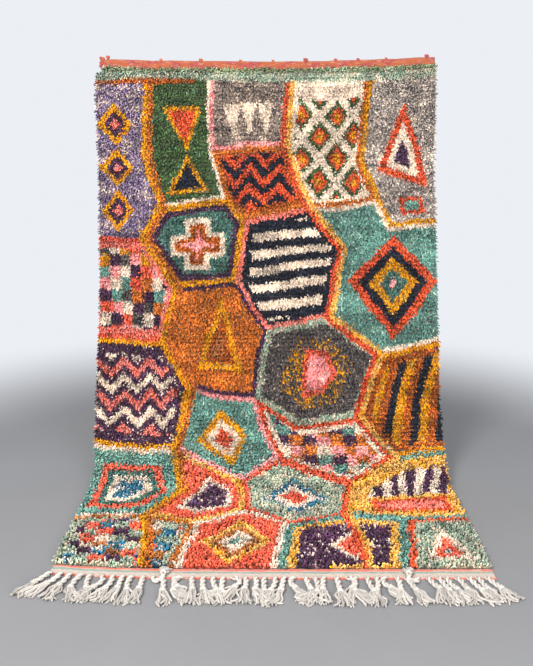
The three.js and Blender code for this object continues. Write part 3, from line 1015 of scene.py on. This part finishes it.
def woven_ground(material):
    rows, columns = round((PILE_END - PILE_START) / GROUND_CELL), round(PILE_WIDTH / GROUND_CELL)
    along, share = grid((PILE_START, PILE_END), rows, (0, 1), columns)
    mesh = slab("woven_ground", along, pile_across(along, share), GROUND_THICKNESS)
    middle = [(place[:-1, :-1] + place[1:, 1:]) / 2 for place in (along, share)]
    colours = chart_colours(*middle)
    cells = colours.reshape(-1, 4)
    faces = np.concatenate([cells, cells, colours[:, 0], colours[:, -1], colours[0], colours[-1]])
    keep(mesh, "wool", "FLOAT_COLOR", "FACE", faces)
    # Painted shade: front and sides darkened as in the pile's shadow, the back left at full light
    light = np.full(len(faces), HIDDEN_SHADE)
    light[:len(cells)] += PALE_LIFT * cells[:, 1]
    light[len(cells):2 * len(cells)] = 1
    keep(mesh, "light", "FLOAT", "FACE", light)
    return piece("woven_ground", mesh, material)


# Strips

STRIP_CELL = 0.009
STRIP_UNEVEN = 0.0012
EDGE_WAVER, EDGE_SWELL = 0.0030, 5.0


def strip(name, start, length, sides, material):
    """A flat-woven strip, a little uneven in thickness and along its edges."""
    rows, columns = round(length / STRIP_CELL), round((sides[1] - sides[0]) / STRIP_CELL)
    along, across = grid((start, start + length), rows, sides, columns)
    swell = drift(across * CHART_PER_METRE, along * CHART_PER_METRE, EDGE_SWELL, 31)
    along[[0, -1]] += EDGE_WAVER * (swell[[0, -1]] - 0.5)
    uneven = STRIP_UNEVEN * scatter(np.arange(along.size).reshape(along.shape), 7)
    mesh = slab(name, along, across, STRIP_THICKNESS - STRIP_UNEVEN + uneven, start)
    return piece(name, mesh, material)


# Fringe

TASSELS = 44
TASSEL_MARGINS = 0.012, 0.030
UNEVEN_ROOT = 0.005
TASSEL_SHADES, PLY_SHADES = 0.06, 0.03
YARN = {"Lobes": 3, "Groove": 0.74}
CORD_TURN = 2 * math.pi / 0.026

# Plies: bow sideways, twist that tightens towards the knot, and rise where one crosses the other
PLY = {"radius": 0.0056, "rooted": 0.003, "length": 0.084, "bow": 0.007, "steps": 22}
PLY_TWIST = {"twists": 1.6, "tightening": 1.2, "rise": 0.7}
PLY_APART = [0.0064, 0.0050, 0.0048, 0.0046]
PLY_THICKNESS = [0.5, 0.95, 1.0, 1.0, 1.0, 0.9]
OUTWARD_TURN = math.radians(19), math.radians(26)
CORNER_SPLAY = math.radians(3)
SWAY = math.radians(12)
LENGTH_SWAY = 0.009

# Tassels whose plies bulge sideways, where along them, and how much the bulge shortens them
BULGING = {0: 0.0, 5: 0.016, 13: -0.020, 18: 0.022, 24: -0.016, 29: 0.020, 33: -0.018, 43: 0.0}
BULGE_PLACE, BULGE_SHORTENS = 0.45, 8

# Tassels that lie turned back on the strip: length of their tails, and how far out, aside and up they go
FOLDED = {10: 0.030, 36: -0.026}
FOLDED_TAIL = 0.036
FOLD_ROUTE = [
    (-0.003, 0, 0),
    (0.016, 0, 0),
    (0.027, 0.5, 0),
    (0.013, 1, 0.002),
    (-0.014, 1, STRIP_THICKNESS),
]

KNOT = {"radius": 0.0042, "wind": 0.0080, "length": 0.010, "turns": 1.5, "steps": 16, "lift": 0.0105}
KNOT_FLATNESS = 0.8

TAILS = 11
TAIL = {"radius": 0.0043, "length": 0.084, "steps": 7, "bend": 0.0048, "drop": 0.003}
TAIL_THICKNESS = np.array([1.0, 1.0, 1.0, 1.0, 1.0, 1.0, 0.7])
TAIL_LENGTHS = (0.8, 1.0)
# How far each tail is darkened at random, partly as painted shade between the strands
TAIL_SHADES = (0.56, 0.98)
TAIL_FAN, TAIL_STRAY = math.radians(28), 0.07
TAIL_START = 0.016
TAIL_LAYER = 0.0058

# Tassels whose tails turn aside, and how far the others' may
TURNED_TAILS = {3: 0.4, 12: 0.7, 17: -1.0, 20: 0.5, 26: -0.6, 30: 0.8, 37: -0.4}
TAIL_TURN = 0.2


def curve_through(points, count):
    """Evenly stepped points of the smooth curve through a few given ones."""
    points = np.asarray(points, float)
    at = np.linspace(0, len(points) - 1, count)
    first = np.clip(at.astype(int), 0, len(points) - 2)
    t = (at - first)[:, None]
    ends = np.vstack([2 * points[0] - points[1], points, 2 * points[-1] - points[-2]])
    a, b, c, d = (ends[first + k] for k in range(4))
    squared, cubed = 2 * a - 5 * b + 4 * c - d, 3 * b - a - 3 * c + d
    return 0.5 * (2 * b + (c - a) * t + squared * t ** 2 + cubed * t ** 3)


def spread_over(steps, values):
    """A few values eased over the steps of a path."""
    return np.interp(np.linspace(0, 1, steps), np.linspace(0, 1, len(values)), values)


def headings(path):
    way = np.gradient(path, axis=0)
    way[:, 2] = 0
    return way / np.linalg.norm(way, axis=1, keepdims=True)


def beside(path, distance):
    """The same path moved sideways along the floor by a distance for each point."""
    way = headings(path)
    return path + distance[:, None] * np.stack([-way[:, 1], way[:, 0], 0 * way[:, 0]], -1)


def turned(way, angle):
    """A heading along the floor turned by an angle."""
    x, y = way[:2]
    cos, sin = math.cos(angle), math.sin(angle)
    return np.array([x * cos - y * sin, x * sin + y * cos, 0.0])


class Yarns:
    """Cords and loose ends, gathered as paths with a radius, a turn and a shade at each point."""

    def __init__(self):
        self.paths = []

    def lay(self, path, radius, shade, turn=CORD_TURN):
        run = np.concatenate([[0], np.cumsum(np.linalg.norm(np.diff(path, axis=0), axis=1))])
        row = np.ones(len(path))
        path[:, 2] = np.maximum(path[:, 2], radius)
        self.paths.append((path, radius * row, turn * run, shade * row))

    def points(self, name):
        places, *values = (np.concatenate(rows) for rows in zip(*self.paths))
        edges = np.stack([np.arange(len(places) - 1), np.arange(1, len(places))], -1)
        ends = np.cumsum([len(path) for path, *_ in self.paths])[:-1]
        mesh = points_mesh(name, places, np.delete(edges, ends - 1, 0).tolist())
        for field, row in zip(("thickness", "turn", "shade"), values):
            keep(mesh, field, "FLOAT", "POINT", row)
        return mesh

    def spun(self, name, material):
        """The piece with a grooved cord laid along each path."""
        net = GrowingNet("cords", YARN)
        star = {"Points": net.given("Lobes"), "Inner Radius": net.given("Groove"), "Outer Radius": 1.0}
        outline = net.node("GeometryNodeCurveStar", {}, star)
        path = net.node("GeometryNodeMeshToCurve", {}, {0: net.given("Points")})
        tilted = net.node("GeometryNodeSetCurveTilt", {}, {"Curve": path, "Tilt": net.kept("turn")})
        net.finish(net.cord(tilted, outline, net.kept("thickness")), material)
        return piece(name, net.grow(name, self.points(name)))


def wind_knot(yarns, centre, way, shade):
    """A turn and a half of cord round the tassel."""
    turn = np.linspace(0, 2 * math.pi * KNOT["turns"], KNOT["steps"])[:, None]
    run = KNOT["length"] * (np.linspace(0, 1, KNOT["steps"]) - 0.5)[:, None]
    aside = np.array([-way[1], way[0], 0])
    lift = np.array([0, 0, KNOT_FLATNESS])
    path = centre + run * way + KNOT["wind"] * (np.cos(turn) * aside + np.sin(turn) * lift)
    yarns.lay(path, KNOT["radius"], shade)


def tail(yarns, start, way, length, bottom, shade, rng):
    """A loose end from the knot down to the floor or the tails below it, a little bent."""
    length = length * rng.uniform(*TAIL_LENGTHS)
    aside = turned(way, math.pi / 2)
    low = bottom + TAIL["radius"]
    bend = TAIL["bend"] * rng.normal()
    steps = [(0, 0, start[2]), (0.35, bend, low + TAIL["drop"]), (0.7, -bend, low), (1, bend, low)]
    points = [[*(start + way * length * out + aside * off)[:2], up] for out, off, up in steps]
    # Painted shade: each tail darkened at random, partly standing in for the shadows between strands
    shade = shade * rng.uniform(*TAIL_SHADES)
    yarns.lay(curve_through(points, TAIL["steps"]), TAIL["radius"] * TAIL_THICKNESS, shade, turn=0)


def tassel(yarns, route, tail_length, index, rng):
    """Two plies twisted together, a knot, and loose tails fanned beyond it."""
    steps = PLY["steps"]
    middle = curve_through(route, steps)
    shade = 1 + TASSEL_SHADES * scatter(index, 8)
    apart = spread_over(steps, PLY_APART)
    radius = PLY["radius"] * spread_over(steps, PLY_THICKNESS)
    twist = 2 * math.pi * PLY_TWIST["twists"] * np.linspace(0, 1, steps) ** PLY_TWIST["tightening"]
    for side in (-1, 1):
        path = beside(middle, side * apart * np.cos(twist))
        path[:, 2] += radius + PLY_TWIST["rise"] * apart * (1 + side * np.sin(twist))
        yarns.lay(path, radius, shade * (1 + PLY_SHADES * side))
    way = headings(middle)[-1]
    floor = route[-1][2]
    centre = np.array([*middle[-1][:2], floor + KNOT["lift"]])
    wind_knot(yarns, centre, way, shade)
    spread = turned(way, TURNED_TAILS.get(index, TAIL_TURN * scatter(index, 12)))
    for k in range(TAILS):
        share = (k + 0.5) / TAILS - 0.5
        start = centre + TAIL_START * share * turned(spread, math.pi / 2)
        heading = turned(spread, TAIL_FAN * share + TAIL_STRAY * rng.normal())
        tail(yarns, start, heading, tail_length, floor + TAIL_LAYER * (k % 2), shade, rng)


def tassel_route(root, foot, index):
    """Path of a tassel from the strip's edge to its knot."""
    share = root / FOOT_STRIP_SIDES[1]
    lean = OUTWARD_TURN[int(share > 0)] * share * abs(share) + SWAY * scatter(index, 2)
    lean -= CORNER_SPLAY if index == 0 else 0
    x, y = math.sin(lean), -math.cos(lean)
    bulge = BULGING.get(index, PLY["bow"] * scatter(index, 4))
    length = PLY["length"] + LENGTH_SWAY * scatter(index, 3)
    shorter = 1 - BULGE_SHORTENS * abs(bulge)
    steps = [(-PLY["rooted"], 0), (length * BULGE_PLACE * shorter, bulge), (length * shorter, 0)]
    start = MIDDLE_X + root
    return [(start + x * out - y * aside, foot + y * out + x * aside, 0) for out, aside in steps]


def fringe(material):
    yarns = Yarns()
    rng = np.random.default_rng(SEED + 2)
    ends = FOOT_STRIP_SIDES[0] + TASSEL_MARGINS[0], FOOT_STRIP_SIDES[1] - TASSEL_MARGINS[1]
    for index, root in enumerate(np.linspace(*ends, TASSELS)):
        root = root + UNEVEN_ROOT * scatter(index, 5)
        foot = drape(RUG_LENGTH, root, 0.0)[1]
        if index in FOLDED:
            start, far = MIDDLE_X + root, FOLDED[index]
            route = [(start + far * aside, foot - out, up) for out, aside, up in FOLD_ROUTE]
            tassel(yarns, route, FOLDED_TAIL, index, rng)
        else:
            tassel(yarns, tassel_route(root, foot, index), TAIL["length"], index, rng)
    return yarns.spun("fringe", material)


# Knots of the head strip's warp ends: place across the rug, drop below the edge and size, in mm
WARP_KNOTS = MM * np.array([
    (-452, 0, 9),
    (-281, 0, 12),
    (-112, 0, 8),
    (28, 0, 8),
    (168, 0, 14),
    (296, 0, 10),
    (392, 0, 9),
    (512, 0, 8),
    (686, 0, 13),
    (-703, 4, 15),
    (-679, -5, 12),
    (-706, 21, 13),
    (-710, 33, 10),
])
KNOT_CORNER = MIDDLE_X - 0.703

# Cord, tied loop and loose end of each, as shares of its size
WARP_CORD, WARP_TIED, WARP_END = 0.36, 0.55, 0.8
WARP_STEPS, WARP_END_STEPS = 25, 5
WARP_ASIDE, WARP_SHADES = 0.6, 0.15


def warp_knots(material):
    """Each a cord tied in an overhand knot, with a short end standing off."""
    yarns = Yarns()
    turn = np.linspace(0, 2 * math.pi, WARP_STEPS)
    x, z = np.sin(turn) + 2 * np.sin(2 * turn), np.cos(turn) - 2 * np.cos(2 * turn)
    tied = np.stack([x, -np.sin(3 * turn), z], -1) / 3
    for index, (across, drop, size) in enumerate(WARP_KNOTS):
        centre = drape(0.0, across, STRIP_THICKNESS / 2) + np.array([0, 0, size / 4 - drop])
        shade = 1 + WARP_SHADES * scatter(index, 9)
        aside = WARP_ASIDE * scatter(index, 10)
        end = np.array([(0, 0, 0), (aside, -0.1, 0.5), (1.6 * aside, -0.1, 0.7)])
        end = curve_through(centre + size * WARP_END * end, WARP_END_STEPS)
        for path in (centre + tied * size * WARP_TIED, end):
            yarns.lay(path, WARP_CORD * size, shade, turn=0)
    return yarns.spun("warp_knots", material)


# Studio

# Picture height, focal length and eye line below its top edge, in pixels
PICTURE_HEIGHT, FOCAL_LENGTH, EYE_LINE = 666, 908, 163.4
SENSOR_WIDTH, SENSOR_HEIGHT = 28.8, 36.0
CAMERA_AWAY, CAMERA_HEIGHT, CAMERA_DIP = 3.911, 1.552, 4

# Lamps: place, aim, size and power
SOFTBOXES = {
    "key": ((-1.8, -3.6, 3.2), (0, 0.2, 0.8), (1.6, 1.2), 270),
    "fill": ((1.6, -4.2, 1.6), (0, 0.4, 1.0), (2.4, 2.0), 150),
    "top": ((0, -0.8, 4.2), (0, 0, 0), (2.6, 2.6), 30),
}
ROOM_COLOUR = (0.90, 0.93, 0.98, 1)
ROOM_LIGHT, ROOM_SEEN = 0.70, 0.93
FLOOR_COLOUR = (0.22, 0.22, 0.225)
FLOOR_RADIUS, FLOOR_SIDES = 3.0, 96
FLOOR_FADE = {"From Min": 1.4, "From Max": 2.8, "To Min": 1.0, "To Max": 0.0}


def camera():
    lens = bpy.data.cameras.new("camera")
    lens.sensor_fit = "VERTICAL"
    lens.sensor_height = SENSOR_HEIGHT
    lens.sensor_width = SENSOR_WIDTH
    lens.lens = SENSOR_HEIGHT * FOCAL_LENGTH / PICTURE_HEIGHT
    lens.shift_y = -(PICTURE_HEIGHT / 2 - EYE_LINE) / PICTURE_HEIGHT
    view = bpy.data.objects.new("camera", lens)
    view.location = (MIDDLE_X, HEAD_Y - CAMERA_AWAY, CAMERA_HEIGHT)
    view.rotation_euler = (math.radians(90 - CAMERA_DIP), 0, 0)
    bpy.context.collection.objects.link(view)
    bpy.context.scene.camera = view


def softbox(name, place, aim, size, power):
    light = bpy.data.lights.new(name, "AREA")
    light.shape = "RECTANGLE"
    light.size, light.size_y = size
    light.energy = power
    lamp = bpy.data.objects.new(name, light)
    lamp.location = place
    lamp.rotation_euler = Vector(np.subtract(aim, place)).to_track_quat("-Z", "Y").to_euler()
    bpy.context.collection.objects.link(lamp)


def studio_floor():
    """A grey disc that fades out towards its rim."""
    floor_finish = Finish("studio_floor", roughness=0.6, sheen=0.0)
    grain = floor_finish.noise(floor_finish.place(), 3.0, detail=4.0)
    floor_finish.set("Base Color", floor_finish.shaded(FLOOR_COLOUR, mixed(0.94, 1.06, grain)))
    spot = {0: floor_finish.place()}
    away = floor_finish.node("ShaderNodeVectorMath", {"operation": "LENGTH"}, spot, "Value")
    settings, reach = {"interpolation_type": "SMOOTHSTEP"}, {"Value": away, **FLOOR_FADE}
    floor_finish.set("Alpha", floor_finish.node("ShaderNodeMapRange", settings, reach))
    turn = np.linspace(0, 2 * math.pi, FLOOR_SIDES, endpoint=False)
    ring = FLOOR_RADIUS * np.stack([np.cos(turn), np.sin(turn), 0 * turn], -1)
    mesh = bpy.data.meshes.new("floor")
    mesh.from_pydata(ring.tolist(), [], [list(range(FLOOR_SIDES))])
    piece("floor", mesh, floor_finish.material)


def studio():
    world = bpy.data.worlds.new("studio")
    world.use_nodes = True
    net = Net(world.node_tree)
    net.tree.nodes.clear()
    strength = mixed(ROOM_LIGHT, ROOM_SEEN, net.node("ShaderNodeLightPath", out="Is Camera Ray"))
    sky = net.node("ShaderNodeBackground", {}, {"Color": ROOM_COLOUR, "Strength": strength})
    net.node("ShaderNodeOutputWorld", {}, {"Surface": sky})
    bpy.context.scene.world = world
    bpy.context.scene.view_settings.view_transform = "Standard"
    for name, lamp in SOFTBOXES.items():
        softbox(name, *lamp)
    studio_floor()


camera()
studio()
ground = woven_ground(ground_finish())
pile = pile_sections(pile_finish())
head_weave = flat_weave("head_weave", head_wools, **HEAD_LOOK)
head = strip("head_strip", 0.0, HEAD_STRIP, HEAD_STRIP_SIDES, head_weave)
foot_weave = flat_weave("foot_weave", foot_wools, **FOOT_LOOK)
foot = strip("foot_strip", RUG_LENGTH - FOOT_STRIP, FOOT_STRIP, FOOT_STRIP_SIDES, foot_weave)
tassels = fringe(fringe_finish())
knots = warp_knots(knot_finish())

SLOTS = [
    ("pile_field", "pile_wool", [ground, *pile]),
    ("head_kilim", "head_weave", [head, knots]),
    ("foot_kilim_fringe", "foot_cotton", [foot, tassels]),
]
for node, slot, made in SLOTS:
    for part in made:
        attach(part, "root")
        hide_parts(node)
